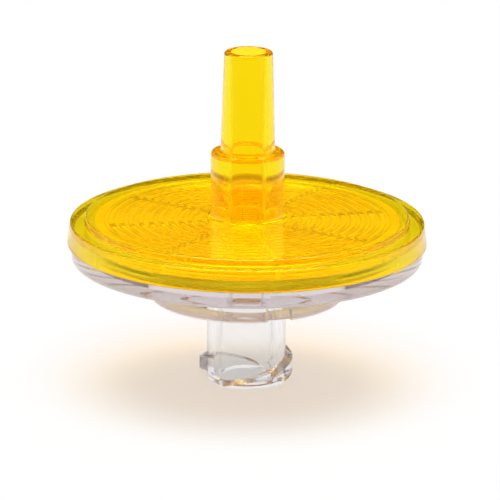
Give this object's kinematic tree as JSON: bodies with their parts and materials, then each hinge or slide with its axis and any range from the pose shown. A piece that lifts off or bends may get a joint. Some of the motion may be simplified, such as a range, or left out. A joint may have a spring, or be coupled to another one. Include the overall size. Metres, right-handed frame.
{
  "type": "syringe filter",
  "caption": "Round disposable syringe filter: an amber outlet shell with a luer slip spigot welded to a clear inlet shell with a threaded female luer lock hub.",
  "frame": {"origin": "middle of the luer lock hub's end face, which the filter stands on", "axes": "+Z along the common axis of both luer fittings, from the inlet hub up to the outlet spigot; -Y is the front"},
  "size_m": [0.0296, 0.0296, 0.0275],
  "materials": {
    "amber_plastic": "transparent amber moulding, polished",
    "clear_plastic": "clear moulding with a faint lilac cast, polished",
    "membrane": "white microporous film, dead matt"
  },
  "bodies": {
    "root": {"outlet_shell": "amber_plastic", "inlet_shell": "clear_plastic", "filter_membrane": "membrane"}
  },
  "joints": []
}
